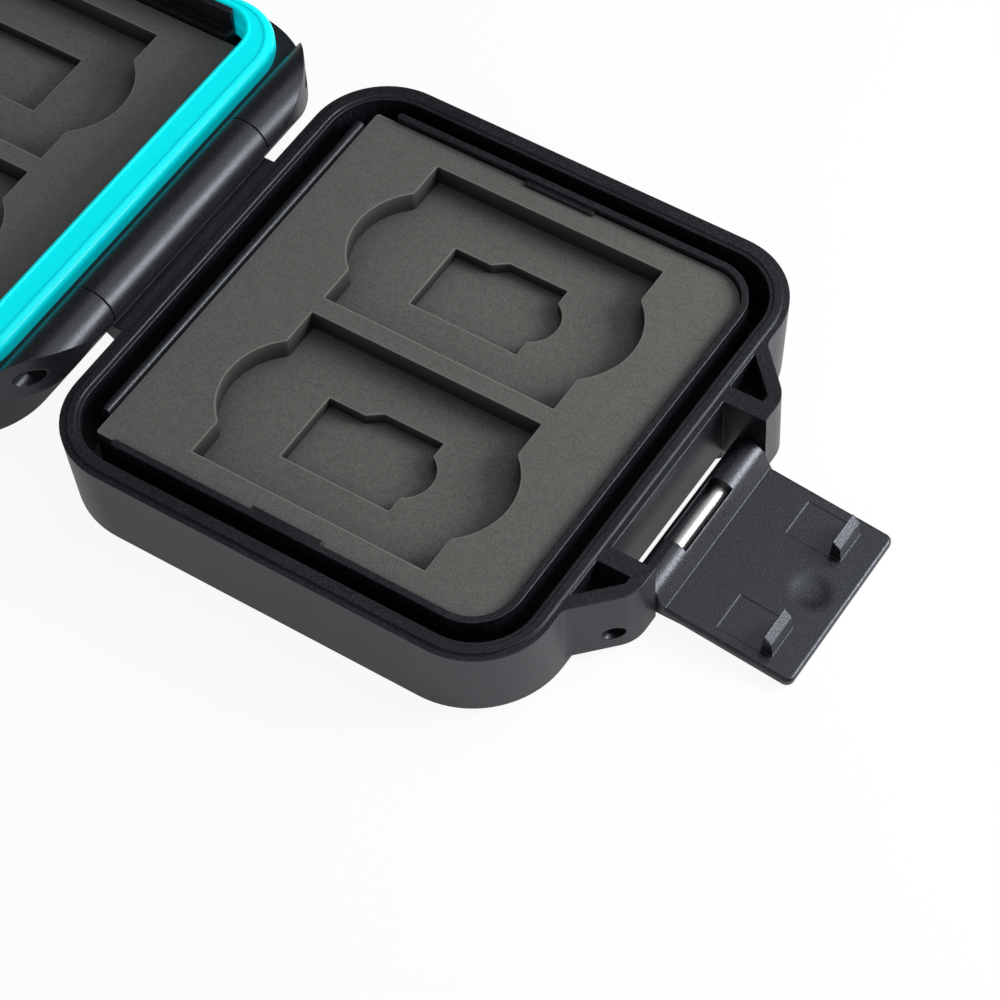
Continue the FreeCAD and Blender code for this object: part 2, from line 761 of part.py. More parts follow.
for side, low_y, high_y in (("back", hook_near_y, hook_far_y), ("front", -hook_far_y, -hook_near_y)):
    box_cut(latch, f"latch_core_mark_{side}", (d.hook_distance - d.core_mark_length, d.hook_distance),
            (low_y - d.core_mark_margin, high_y + d.core_mark_margin),
            (plate_top - d.core_mark_depth, plate_top + OVER))


dish_height = d.dish_depth + d.dish_core
dish_reach = d.dish_radius * dish_height / root(dish_height * dish_height - d.dish_core * d.dish_core)


dish = latch.newObject("PartDesign::SubtractiveEllipsoid", "latch_thumb_dish")
bind(dish, "Radius1", dish_height)
bind(dish, "Radius2", dish_reach)
bind(dish, "Radius3", dish_reach)
bind(dish, "Placement.Base.x", d.dish_middle)
bind(dish, "Placement.Base.z", plate_top + d.dish_core)
doc.recompute()


def dish_rim(edge):
    """Round edge where the dish meets the plate's upper face."""
    near = abs(edge.BoundBox.Center.x - d.dish_middle.value) < d.dish_radius.value
    return flat_at(plate_top)(edge) and near and not isinstance(edge.Curve, Part.Line)


round_edges(latch, "latch_thumb_dish_rim", d.dish_rim_round, dish_rim)
latch_hole = new_sketch(latch, "latch_bore", "XZ_Plane")
circle(latch_hole, d.latch_pin_diameter / 2 + d.running_fit)
pocket(latch, latch_hole, latch_width, symmetric=True)
latch.Placement = FreeCAD.Placement(Vector(0, 0, 0), Rotation(Vector(0, 1, 0), SIZES["latch_rest_angle"]))
bind(latch, "Placement.Base.x", latch_x)
bind(latch, "Placement.Base.z", latch_z)
bind(latch, "Placement.Rotation.Angle", d.latch_rest_angle * Size(1.0, "1 deg"))


# Pins

def pin(name, diameter, length, x, z):
    """Straight pin along Y with chamfered ends."""
    body = new_body(name)
    sketch = new_sketch(body, f"{name}_section", "XZ_Plane")
    circle(sketch, diameter / 2, (x, z))
    rod = pad(body, sketch, length, symmetric=True)
    edges = enumerate(rod.Shape.Edges, 1)
    rims = [f"Edge{number}" for number, edge in edges if edge.BoundBox.YLength < TOUCH]
    chamfer = body.newObject("PartDesign::Chamfer", f"{name}_ends")
    chamfer.Base = (rod, rims)
    bind(chamfer, "Size", d.pin_chamfer)
    doc.recompute()
    return body


hinge_pin_length = d.knuckle_length + 2 * d.hinge_pin_grip
latch_pin_length = latch_width + 2 * d.latch_pin_grip
hinge_pin = pin("hinge_pin", d.hinge_pin_diameter, hinge_pin_length, hinge_x, hinge_z)
latch_pin = pin("latch_pin", d.latch_pin_diameter, latch_pin_length, latch_x, latch_z)


# Foam insert: two sheets with pockets on a plain backing sheet

def foam_plan(body, name, level, thickness):
    """One sheet of the insert, cut to the space between the tray's walls and rib."""
    left = rib_inner + d.foam_clear - end_x
    right = left + foam_length
    side = foam_width / 2
    corner = d.inner_corner - d.foam_clear
    sketch = new_sketch(body, name, level=level)
    outline(sketch, [(left, -side), (right, -side, corner), (right, side, corner), (left, side)])
    pad(body, sketch, thickness)


def sd_sheet(name, level):
    """Upper sheet: two SD pockets with a thumb scoop at each end."""
    body = new_body(name)
    foam_plan(body, f"{name}_plan", level, d.sd_sheet)
    left = pocket_x
    right = left + d.sd_length
    low = d.sd_spacing / 2
    high = low + d.sd_width
    middle = (low + high) / 2
    top = level + d.sd_sheet
    pockets = new_sketch(body, f"{name}_pockets", level=top)
    rectangle(pockets, (left, right), (low, high))
    rectangle(pockets, (left, right), (-high, -low))
    pocket(body, pockets, d.sd_sheet)
    inset = d.sd_scoop_radius - d.sd_scoop_depth
    scoops = new_sketch(body, f"{name}_hinge_scoops", level=top)
    circle(scoops, d.sd_scoop_radius, (left + inset, middle))
    circle(scoops, d.sd_scoop_radius, (left + inset, -middle))
    pocket(body, scoops, d.sd_sheet)
    scoops = new_sketch(body, f"{name}_latch_scoops", level=top)
    circle(scoops, d.sd_scoop_radius, (right - inset, middle))
    circle(scoops, d.sd_scoop_radius, (right - inset, -middle))
    pocket(body, scoops, d.sd_sheet)
    chord = root(d.sd_scoop_radius * d.sd_scoop_radius - inset * inset)
    lips = [(x, y) for x in (left, right) for y in (middle - chord, middle + chord)]
    round_edges(body, f"{name}_scoop_lips", d.sd_scoop_blend, upright_at(mirrored(lips)))
    return body


def microsd_sheet(name, level):
    """Middle sheet: two microSD pockets, each with a slanted notch and one scoop."""
    body = new_body(name)
    foam_plan(body, f"{name}_plan", level, d.microsd_sheet)
    top = level + d.microsd_sheet
    left = pocket_x + d.microsd_along
    right = left + d.microsd_length
    notch = left + d.microsd_neck_length
    far_edge = -(d.sd_spacing / 2 + d.sd_width)
    near_edge = d.sd_spacing / 2
    pockets = new_sketch(body, f"{name}_pockets", level=top)
    scoops = new_sketch(body, f"{name}_scoops", level=top)
    for edge in (far_edge, near_edge):
        low = edge + d.microsd_across
        neck = low + d.microsd_neck
        high = low + d.microsd_width
        outline(pockets, [(left, low), (right, low), (right, high), (notch + d.microsd_slant, high),
                          (notch, neck), (left, neck)])
        circle(scoops, d.microsd_scoop_radius,
               (right - d.microsd_scoop_radius + d.microsd_scoop_depth, low + d.microsd_width / 2))
    pocket(body, pockets, d.microsd_sheet)
    pocket(body, scoops, d.microsd_sheet)
    return body


def backing_sheet(name, level):
    """Plain sheet on the tray's floor."""
    body = new_body(name)
    foam_plan(body, f"{name}_plan", level, d.backing_sheet)
    return body


def insert(side, floor):
    """The three sheets of one tray, stacked from its floor."""
    above_backing = floor + d.backing_sheet
    above_microsd = above_backing + d.microsd_sheet
    return [backing_sheet(f"{side}_foam_backing", floor),
            microsd_sheet(f"{side}_foam_microsd", above_backing),
            sd_sheet(f"{side}_foam_sd", above_microsd)]


base_foam = insert("base", d.base_floor)
lid_foam = insert("lid", lid_floor)

for item in [lid_shell, seal_ring] + lid_foam:
    item.Placement = FreeCAD.Placement(Vector(0, 0, 0), Rotation(Vector(0, 0, 1), 180))
    bind(item, "Placement.Base.x", 2 * hinge_x)
doc.recompute()


# Check every object, then write one file per piece

pieces = [base_shell, lid_shell, seal_ring, latch, latch_pin, hinge_pin] + base_foam + lid_foam
for item in doc.Objects:
    if {"Invalid", "Error"} & set(item.State):
        raise ValueError(f"{item.Name} does not compute: {item.State}")
for piece in pieces:
    if piece.Shape.isNull() or not piece.Shape.isValid():
        raise ValueError(f"{piece.Label} has no valid shape")
os.makedirs("parts", exist_ok=True)
for piece in pieces:
    piece.Shape.exportStep(f"parts/{piece.Label}.step")
    print(f"{piece.Label}: {len(piece.Shape.Solids)} solid, {piece.Shape.Volume:.1f} mm3")
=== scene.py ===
# %% [markdown]
# # A memory card case, dressed for its picture
# The case lies open and flat: a black moulded base with a latch, a black lid with a cyan seal ring, and grey
# foam with card pockets in both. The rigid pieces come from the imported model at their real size. This file
# gives every one of them its finish, and remakes the soft foam sheets as proper foam.

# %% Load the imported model
import math

import bpy
import numpy as np
from mathutils import Matrix, Vector, geometry


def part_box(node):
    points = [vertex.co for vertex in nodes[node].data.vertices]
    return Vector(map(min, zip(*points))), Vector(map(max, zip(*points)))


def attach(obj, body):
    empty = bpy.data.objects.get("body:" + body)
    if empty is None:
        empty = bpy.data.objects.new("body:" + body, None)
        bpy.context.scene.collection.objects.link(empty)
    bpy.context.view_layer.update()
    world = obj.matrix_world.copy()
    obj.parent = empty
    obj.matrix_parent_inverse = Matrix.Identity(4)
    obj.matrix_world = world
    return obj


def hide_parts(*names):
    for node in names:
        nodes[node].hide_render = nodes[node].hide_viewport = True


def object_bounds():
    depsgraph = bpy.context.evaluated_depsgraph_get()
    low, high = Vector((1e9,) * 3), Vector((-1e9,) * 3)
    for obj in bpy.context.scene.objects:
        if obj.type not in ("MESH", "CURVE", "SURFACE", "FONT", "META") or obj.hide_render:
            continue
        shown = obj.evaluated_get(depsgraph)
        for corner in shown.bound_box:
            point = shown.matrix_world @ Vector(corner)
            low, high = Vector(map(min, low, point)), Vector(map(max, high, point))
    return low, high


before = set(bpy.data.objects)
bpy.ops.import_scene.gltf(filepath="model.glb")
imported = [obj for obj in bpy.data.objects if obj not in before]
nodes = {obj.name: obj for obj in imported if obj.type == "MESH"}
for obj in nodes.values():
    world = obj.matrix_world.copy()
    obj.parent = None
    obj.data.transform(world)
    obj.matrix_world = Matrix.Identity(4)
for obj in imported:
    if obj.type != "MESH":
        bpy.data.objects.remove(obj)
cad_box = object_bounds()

MM = 0.001
print("nodes:", ", ".join(sorted(nodes)))

# %% [markdown]
# ## Camera
# The picture was taken with a long lens from high on the latch side. Cards have standard sizes, so the
# corners of their pockets give the camera's bearing, height, roll, distance and focal length. The view is
# set from those numbers and not by eye.

# %% Camera
VIEW_BEARING = math.radians(36.15)
VIEW_HEIGHT = math.radians(53.443)
VIEW_ROLL = math.radians(3.832)
VIEW_DISTANCE = 401.081 * MM
VIEW_TARGET = Vector((18.392, -12.824, 10.6)) * MM
FOCAL_SHARE = 3.558129
SENSOR_WIDTH = 36.0
NEAREST = 10 * MM

back = Vector((math.sin(VIEW_BEARING) * math.cos(VIEW_HEIGHT),
               -math.cos(VIEW_BEARING) * math.cos(VIEW_HEIGHT), math.sin(VIEW_HEIGHT)))
level_right = Vector((0, 0, 1)).cross(back).normalized()
level_up = back.cross(level_right)
right = math.cos(VIEW_ROLL) * level_right - math.sin(VIEW_ROLL) * level_up
up = back.cross(right)
camera_data = bpy.data.cameras.new("photo_view")
camera_data.sensor_width = SENSOR_WIDTH
camera_data.lens = FOCAL_SHARE * SENSOR_WIDTH
camera_data.clip_start = NEAREST
camera = bpy.data.objects.new("photo_view", camera_data)
camera.matrix_world = (Matrix.Translation(VIEW_TARGET + back * VIEW_DISTANCE)
                       @ Matrix((right, up, back)).transposed().to_4x4())
bpy.context.scene.collection.objects.link(camera)
bpy.context.scene.camera = camera
bpy.context.scene.view_settings.view_transform = "Standard"
print("lens", round(camera_data.lens, 1), "mm")

# %% [markdown]
# ## Shader maths as Python
# A node tree is easier to read as an expression. One small class wraps an output socket: adding, multiplying
# or subtracting two of them adds a Math node. A second class holds one material, and its `node` method makes
# any other node. Sizes of grains, depths and radii in a finish are in millimetres.

# %% Numbers that change over a surface


class Field:
    """A number that changes over a surface: wraps an output socket and turns operators into Math nodes."""

    def __init__(self, tree, socket):
        self.tree = tree
        self.socket = socket

    def math(self, operation, first, second):
        """Math node of two fields, or of a field and a number."""
        return self.tree.node("ShaderNodeMath", {"operation": operation}, {0: first, 1: second})

    def __add__(self, other):
        return self.math("ADD", self, other)

    def __radd__(self, other):
        return self.math("ADD", other, self)

    def __sub__(self, other):
        return self.math("SUBTRACT", self, other)

    def __rsub__(self, other):
        return self.math("SUBTRACT", other, self)

    def __mul__(self, other):
        return self.math("MULTIPLY", self, other)

    def __rmul__(self, other):
        return self.math("MULTIPLY", other, self)


# %% One material
SHADE_SAMPLES = 8


class Finish:
    """One material under construction, with its Principled shader."""

    def __init__(self, name):
        self.material = bpy.data.materials.new(name)
        self.material.use_nodes = True
        self.links = self.material.node_tree.links
        self.nodes = self.material.node_tree.nodes
        self.shader = self.nodes["Principled BSDF"]

    def node(self, kind, settings=None, sockets=None, output=0):
        """Any node: its settings first, then the values or links of its sockets; returns one output."""
        made = self.nodes.new(kind)
        for name, value in (settings or {}).items():
            setattr(made, name, value)
        for key, value in (sockets or {}).items():
            self.feed(made.inputs[key], value)
        return Field(self, made.outputs[output])

    def feed(self, socket, value):
        """Link a field to a socket, or set a plain value on it."""
        if isinstance(value, Field):
            self.links.new(value.socket, socket)
        else:
            socket.default_value = value

    def set(self, **sockets):
        """Set or link sockets of the Principled shader by name, with spaces written as underscores."""
        for name, value in sockets.items():
            self.feed(self.shader.inputs[name.replace("_", " ")], value)

    def noise(self, grain_mm, detail=2.0, roughness=0.5, stretch=(1, 1, 1)):
        """Noise from 0 to 1 over object coordinates, with grains about so many millimetres across."""
        place = self.node("ShaderNodeTexCoord", output="Object")
        where = self.node("ShaderNodeMapping", None, {"Vector": place, "Scale": stretch})
        sockets = {"Vector": where, "Scale": 1 / (grain_mm * MM), "Detail": detail, "Roughness": roughness}
        return self.node("ShaderNodeTexNoise", None, sockets)

    def mark(self, name):
        """A share that is stored on the points of the mesh under this name."""
        return self.node("ShaderNodeAttribute", {"attribute_name": name}, output="Fac")

    def tint(self, share, first, second):
        """Colour between two, by a share from 0 to 1; a Mix node has its colours on sockets 6, 7 and 2."""
        return self.node("ShaderNodeMix", {"data_type": "RGBA"}, {0: share, 6: first, 7: second}, output=2)

    def ease(self, value, low, high, to_low=0.0, to_high=1.0):
        """Value mapped smoothly from low..high to to_low..to_high."""
        sockets = {0: value, 1: low, 2: high, 3: to_low, 4: to_high}
        return self.node("ShaderNodeMapRange", {"interpolation_type": "SMOOTHSTEP"}, sockets)

    def bump(self, height, depth_mm, strength, under=None):
        """Normal from a height field whose full swing is so many millimetres deep."""
        sockets = {"Strength": strength, "Distance": depth_mm * MM, "Height": height}
        if under is not None:
            sockets["Normal"] = under
        return self.node("ShaderNodeBump", None, sockets)

    def painted_corner_shade(self, reach_mm):
        """Share of painted shade, from 0 in the open to 1 deep in a corner, by what stands within reach."""
        settings, sockets = {"samples": SHADE_SAMPLES}, {"Distance": reach_mm * MM}
        return 1.0 - self.node("ShaderNodeAmbientOcclusion", settings, sockets, output="AO")

    def soft_edges(self, radius_mm):
        """Normal of the surface with its sharp edges rounded by a radius."""
        return self.node("ShaderNodeBevel", {"samples": SHADE_SAMPLES}, {"Radius": radius_mm * MM})


def dress(material, *names):
    """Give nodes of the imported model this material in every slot."""
    for name in names:
        data = nodes[name].data
        data.materials.clear()
        data.materials.append(material)
    print(material.name, "on", ", ".join(names))


# %% [markdown]
# ## Black moulded plastic
# Both shells and the latch are moulded ABS. The mould was spark eroded, so the skin has a very fine grain
# that breaks up the gloss, and no moulded edge is perfectly sharp. A bump of fine noise gives the grain, and
# a bevel normal rounds the edges so that they catch the light as a thin bright line. The gloss is slightly
# blue. The latch has the coarser skin, so the finish is a function that takes the depth of its grain.

# %% Shell plastic
PLASTIC_BLACK = (0.0032, 0.0037, 0.0052, 1)
PLASTIC_WORN = (0.0200, 0.0215, 0.0265, 1)
PLASTIC_GLOSS = (0.85, 0.90, 1.0, 1)
GRAIN_SIZE, CLOUD_SIZE, PLASTIC_EDGE = 0.26, 9.0, 0.2
WORN_BAND = (0.44, 0.7)
SKIN_BAND = (0.3, 0.7)


def moulded_plastic(name, grain_depth, smoothest, roughest):
    """Black plastic with a grain so many millimetres deep and a roughness that wanders between two values."""
    plastic = Finish(name)
    grain = plastic.noise(GRAIN_SIZE, roughness=0.6)
    cloud = plastic.noise(CLOUD_SIZE)
    worn = plastic.ease(grain * 0.85 + cloud * 0.15, *WORN_BAND)
    plastic.set(
        Base_Color=plastic.tint(worn, PLASTIC_BLACK, PLASTIC_WORN),
        Roughness=plastic.ease(grain * 0.6 + cloud * 0.4, *SKIN_BAND, to_low=smoothest, to_high=roughest),
        Specular_IOR_Level=0.6,
        Specular_Tint=PLASTIC_GLOSS,
        Normal=plastic.bump(grain, grain_depth, strength=0.9, under=plastic.soft_edges(PLASTIC_EDGE)))
    return plastic.material


dress(moulded_plastic("shell_plastic", grain_depth=0.024, smoothest=0.34, roughest=0.43),
      "base_shell", "lid_shell")
dress(moulded_plastic("latch_plastic", grain_depth=0.034, smoothest=0.31, roughest=0.45), "latch")

# %% [markdown]
# ## Cyan seal ring
# The ring is moulded silicone: a strong, slightly milky colour and a satin skin. A weak cyan glow is painted
# light that brightens the ring beyond what the lamps give it. A faint unevenness in the colour and a soft
# bump keep it from looking like paint.

# %% Seal silicone
CYAN = (0.0, 0.93, 1.0, 1)
CYAN_DEEP = (0.0, 0.89, 0.97, 1)
CYAN_PAINTED_GLOW = (0.0, 0.86, 1.0, 1)
MOTTLE_SIZE, DUST_SIZE, SEAL_EDGE = 12.0, 0.3, 0.28
MOTTLE_BAND = (0.35, 0.65)
silicone = Finish("seal_silicone")
mottle = silicone.noise(MOTTLE_SIZE)
dust = silicone.noise(DUST_SIZE)
silicone.set(
    Base_Color=silicone.tint(silicone.ease(mottle * 0.6 + dust * 0.4, *MOTTLE_BAND), CYAN_DEEP, CYAN),
    Roughness=silicone.ease(mottle * 0.4 + dust * 0.6, *MOTTLE_BAND, to_low=0.3, to_high=0.42),
    Specular_IOR_Level=0.2,
    # Painted light: the ring glows though it is no lamp.
    Emission_Color=CYAN_PAINTED_GLOW,
    Emission_Strength=0.22,
    Subsurface_Weight=0.4,
    Subsurface_Radius=(0.1, 0.7, 0.9),
    Subsurface_Scale=1.2 * MM,
    Normal=silicone.bump(dust, depth_mm=0.006, strength=0.2, under=silicone.soft_edges(SEAL_EDGE)))
dress(silicone.material, "seal_ring")

# %% [markdown]
# ## Steel pins
# Ground steel wire has fine marks round its length. Noise that is stretched along the pin gives them.

# %% Pin steel
STEEL = (0.90, 0.89, 0.87, 1)
STEEL_DULL = (0.78, 0.77, 0.75, 1)
GRIND_SIZE = 0.25
GRIND_STRETCH = (1, 0.04, 1)
GRIND_BAND = (0.3, 0.7)
steel = Finish("pin_steel")
grind = steel.noise(GRIND_SIZE, detail=3.0, stretch=GRIND_STRETCH)
steel.set(
    Base_Color=steel.tint(steel.ease(grind, *GRIND_BAND), STEEL_DULL, STEEL),
    Metallic=1.0,
    Roughness=steel.ease(grind, *GRIND_BAND, to_low=0.42, to_high=0.56),
    Normal=steel.bump(grind, depth_mm=0.006, strength=0.3))
dress(steel.material, "hinge_pin", "latch_pin")

# %% [markdown]
# ## Foam sheets
# Each insert is three sheets of closed-cell foam, die cut and glued on one another. A die leaves crisp
# walls, but the skin rolls over a little at each cut edge. So a sheet is made from its outlines: a small edge
# profile is carried along every outline, and the flat faces are filled between the innermost lines. Boxes
# with cut-outs would be quicker, but they have no rolled edge to catch the light.

# %% Outlines with round corners
SAME_POINT = 0.001 * MM


def round_outline(corners, radii, steps=15):
    """Closed outline through the corners, each replaced by an arc of its radius.

    The arc starts a tangent length, radius times the tangent of half the turn, before its corner. Its points
    are the start point turned about the arc's centre by equal parts of the turn.
    """
    corners = np.asarray(corners, float)
    radii = np.asarray(radii, float)
    inward = corners - np.roll(corners, 1, 0)
    inward /= np.linalg.norm(inward, axis=1, keepdims=True)
    outward = np.roll(inward, -1, 0)
    sine = inward[:, 0] * outward[:, 1] - inward[:, 1] * outward[:, 0]
    turn = np.arctan2(sine, (inward * outward).sum(1))
    start = corners - inward * (radii * np.tan(np.abs(turn) / 2))[:, None]
    side = np.c_[-inward[:, 1], inward[:, 0]] * np.sign(turn)[:, None]
    centre = start + side * radii[:, None]
    angle = turn[:, None] * np.linspace(0, 1, steps)
    arm = start - centre
    x = centre[:, :1] + arm[:, :1] * np.cos(angle) - arm[:, 1:] * np.sin(angle)
    y = centre[:, 1:] + arm[:, :1] * np.sin(angle) + arm[:, 1:] * np.cos(angle)
    line = np.stack([x, y], -1).reshape(-1, 2)
    apart = np.linalg.norm(line - np.roll(line, 1, 0), axis=1) > SAME_POINT
    return line[apart]


# %% Section of a cut edge
ROLL = 0.15 * MM
GUARD = 0.1 * MM
ROLL_SPREAD = 0.6 * ROLL


def edge_profile(low, high, steps=5):
    """Section of a cut edge, from the upper face down to the lower one, as (inset, height) pairs.

    Two quarter circles of the roll radius join the faces to the upright cut. A guard strip keeps the faces
    flat.
    """
    quarter = np.linspace(0, math.pi / 2, steps)
    inset = ROLL * (1 - np.sin(quarter))
    drop = ROLL * (1 - np.cos(quarter))
    upper = np.c_[inset, high - drop]
    lower = np.c_[inset, low + drop][::-1]
    return np.vstack([[[ROLL + GUARD, high]], upper, lower, [[ROLL + GUARD, low]]])


def edge_marks(profile):
    """Two shares from 0 to 1 for each row of the profile, for the finish to read.

    rolled_edge is a bell curve of inset plus drop about the roll radius, so it is high over the upper round.
    cut_wall is 1 on the upright cut and falls evenly to 0 where the flat face starts.
    """
    inset = profile[:, 0]
    drop = profile[0, 1] - profile[:, 1]
    return {"rolled_edge": np.exp(-((inset + drop - ROLL) / ROLL_SPREAD) ** 2),
            "cut_wall": np.clip(1 - inset / ROLL, 0, 1)}


print("edge profile of", len(edge_profile(0, 1)), "rows")

# %% One sheet from its outlines


def edge_strip(line, profile):
    """Grid of the profile carried along an outline.

    A point is its outline point moved left, square to the way, by the profile's inset, at the profile's
    height.
    """
    ahead = np.roll(line, -1, 0) - line
    ahead /= np.linalg.norm(ahead, axis=1, keepdims=True)
    along = ahead + np.roll(ahead, 1, 0)
    along /= np.linalg.norm(along, axis=1, keepdims=True)
    left = np.c_[-along[:, 1], along[:, 0]]
    flat = line[None] + left[None] * profile[:, :1, None]
    height = np.broadcast_to(profile[:, 1:, None], flat.shape[:2] + (1,))
    return np.concatenate([flat, height], -1)


def flat_face(points, rims, faces_up):
    """Triangles that fill a flat face between its rims, all turned up or all turned down."""
    corner = np.concatenate(rims)
    fill = np.array(geometry.tessellate_polygon([(points[rim] / MM).tolist() for rim in rims]))
    where = points[corner[fill]]
    first, second = where[:, 1] - where[:, 0], where[:, 2] - where[:, 0]
    upward = first[:, 0] * second[:, 1] - first[:, 1] * second[:, 0] > 0
    wrong = upward != faces_up
    fill[wrong] = fill[wrong][:, ::-1]
    return corner[fill].tolist()


def sheet_mesh(name, outlines, low, high):
    """Sheet between two heights: a strip of edge along each outline, and the two flat faces between them.

    The first outline runs counter-clockwise and holes run clockwise, so the foam is always on the left.
    """
    profile = edge_profile(low, high)
    grids = [edge_strip(line, profile) for line in outlines]
    points = np.concatenate([grid.reshape(-1, 3) for grid in grids])
    faces, tops, bottoms, start = [], [], [], 0
    for grid in grids:
        rows, count = grid.shape[:2]
        index = start + np.arange(rows * count).reshape(rows, count)
        after = np.roll(index, -1, 1)
        faces += np.stack([index[:-1], index[1:], after[1:], after[:-1]], -1).reshape(-1, 4).tolist()
        tops.append(index[0])
        bottoms.append(index[-1])
        start += rows * count
    faces += flat_face(points, tops, True) + flat_face(points, bottoms, False)
    mesh = bpy.data.meshes.new(name)
    mesh.from_pydata(points.tolist(), [], faces)
    for mark, share in edge_marks(profile).items():
        values = np.concatenate([np.repeat(share, len(line)) for line in outlines])
        mesh.attributes.new(mark, "FLOAT", "POINT").data.foreach_set("value", values)
    mesh.shade_smooth()
    mesh.update()
    return mesh


# %% [markdown]
# ## Foam finish
# The foam is a dark warm grey. Up close it is a field of tiny cut cells: fine dark pits with paler rims and
# a few bright flecks. Noise of that scale gives the colour and the bump, with no seam at any edge. The colour
# reads the two marks of the mesh: a painted highlight on the rolled edge, and a darker cut wall. An ambient
# occlusion node paints shade into the colour in narrow corners and at the foot of each wall.

# %% Foam finish
FOAM_DARK = (0.062, 0.0598, 0.0566, 1)
FOAM_PALE = (0.114, 0.1107, 0.1054, 1)
FOAM_EDGE_HIGHLIGHT = (0.23, 0.224, 0.212, 1)
FOAM_CUT_WALL_AND_SHADE = (0.016, 0.0155, 0.0145, 1)
CELL_SIZE, PATCH_SIZE, FLECK_SIZE = 0.26, 1.1, 0.2
PALE_BAND = (0.36, 0.64)
FLECK_BAND = (0.66, 0.78)
CUT_BAND = (0.3, 1.0)
PAINTED_SHADE_REACH = 8.0
foam = Finish("foam")
cells = foam.noise(CELL_SIZE, roughness=0.65)
patches = foam.noise(PATCH_SIZE, detail=3.0)
flecks = foam.ease(foam.noise(FLECK_SIZE, detail=0.0), *FLECK_BAND)
pale_share = foam.ease(cells * 0.8 + patches * 0.2, *PALE_BAND) + flecks * 1.1
# Painted highlight: the rolled edge is coloured paler where its round catches the light.
skin_with_edge_highlight = foam.tint(foam.mark("rolled_edge") * 0.85, foam.tint(pale_share, FOAM_DARK, FOAM_PALE), FOAM_EDGE_HIGHLIGHT)
# Darker colour on the cut wall, plus painted shade from the ambient occlusion share in corners and at wall
# feet.
cut_wall_and_painted_shade = foam.ease(foam.mark("cut_wall"), *CUT_BAND) * 0.55 + foam.painted_corner_shade(PAINTED_SHADE_REACH) * 0.7
foam.set(
    Base_Color=foam.tint(cut_wall_and_painted_shade, skin_with_edge_highlight, FOAM_CUT_WALL_AND_SHADE),
    Roughness=0.88,
    Specular_IOR_Level=0.25,
    Normal=foam.bump(cells, depth_mm=0.05, strength=0.5))
print(foam.material.name, "has", len(foam.nodes), "nodes")

# %% [markdown]
# ## Card pockets
# The upper sheet has two pockets of SD size with a thumb scoop at each end, and the sheet below it two of
# microSD size. The lid's insert is the same one turned half round, so each outline is worked out once, in the
# base, and turned for the lid.

# %% Pocket outlines
SD_LENGTH, SD_WIDTH, SD_SPACING = 32.0 * MM, 24.0 * MM, 2.66 * MM
SD_HINGE_MARGIN = 11.24 * MM
SCOOP_RADIUS, SCOOP_DEPTH, SCOOP_LIP = 9.15 * MM, 3.13 * MM, 0.8 * MM
MICRO_LENGTH, MICRO_WIDTH, MICRO_NECK = 15.0 * MM, 11.2 * MM, 9.87 * MM
MICRO_NECK_LENGTH, MICRO_SLANT = 5.0 * MM, 1.8 * MM
MICRO_ALONG, MICRO_ACROSS = 7.6 * MM, 6.4 * MM
MICRO_SCOOP_RADIUS, MICRO_SCOOP_DEPTH, MICRO_SCOOP_LIP = 3.9 * MM, 1.97 * MM, 0.35 * MM
NOTCH_CORNER = 0.5 * MM
CUT_CORNER = 0.12 * MM
SHEET_CORNER = 0.45 * MM
LATCH_CORNER = 5.24 * MM


def scoop_corners(x, middle, radius, depth, lip, outward):
    """Three corners of a scoop that leaves a pocket's end wall at x, lip, apex and lip, and their radii.

    The apex is where the arc's end tangents meet. The lips take a little of the tangents, so the arc between
    them is drawn with a radius smaller by that share.
    """
    half_angle = math.acos(1 - depth / radius)
    chord = radius * math.sin(half_angle)
    reach = chord * math.tan(half_angle)
    used = lip * math.tan(half_angle / 2)
    tangent = chord / math.cos(half_angle)
    arc = radius * (tangent - used) / tangent
    corners = [(x, middle - chord), (x + outward * reach, middle), (x, middle + chord)]
    return corners, [lip, arc, lip]


def sd_outline(left, low):
    """SD pocket with both scoops, drawn clockwise."""
    right, high = left + SD_LENGTH, low + SD_WIDTH
    middle = (low + high) / 2
    near, near_radii = scoop_corners(left, middle, SCOOP_RADIUS, SCOOP_DEPTH, SCOOP_LIP, -1)
    far, far_radii = scoop_corners(right, middle, SCOOP_RADIUS, SCOOP_DEPTH, SCOOP_LIP, 1)
    corners = [(left, low), *near, (left, high), (right, high), *far[::-1], (right, low)]
    radii = [CUT_CORNER, *near_radii, CUT_CORNER, CUT_CORNER, *far_radii, CUT_CORNER]
    return round_outline(corners, radii)


def microsd_outline(left, low):
    """MicroSD pocket with its notch and one scoop, drawn clockwise."""
    right, high, neck = left + MICRO_LENGTH, low + MICRO_WIDTH, low + MICRO_NECK
    notch = left + MICRO_NECK_LENGTH
    middle = (low + high) / 2
    far, far_radii = scoop_corners(right, middle, MICRO_SCOOP_RADIUS, MICRO_SCOOP_DEPTH, MICRO_SCOOP_LIP, 1)
    corners = [(left, low), (left, neck), (notch, neck), (notch + MICRO_SLANT, high), (right, high),
               *far[::-1], (right, low)]
    radii = [CUT_CORNER, CUT_CORNER, NOTCH_CORNER, NOTCH_CORNER, CUT_CORNER, *far_radii, CUT_CORNER]
    return round_outline(corners, radii)


print("SD pocket of", len(sd_outline(0, 0)), "points, microSD of", len(microsd_outline(0, 0)))

# %% Foam inserts


def insert_outlines(low_corner, high_corner):
    """Outlines of the three sheets of the base's insert: the sheet itself, then its pockets."""
    left, front = low_corner[:2]
    right, rear = high_corner[:2]
    sheet = round_outline([(left, front), (right, front), (right, rear), (left, rear)],
                          [SHEET_CORNER, LATCH_CORNER, LATCH_CORNER, SHEET_CORNER])
    sd_left = left + SD_HINGE_MARGIN
    micro_left = sd_left + MICRO_ALONG
    lows = [-SD_SPACING / 2 - SD_WIDTH, SD_SPACING / 2]
    return {"backing": [sheet],
            "microsd": [sheet] + [microsd_outline(micro_left, low + MICRO_ACROSS) for low in lows],
            "sd": [sheet] + [sd_outline(sd_left, low) for low in lows]}


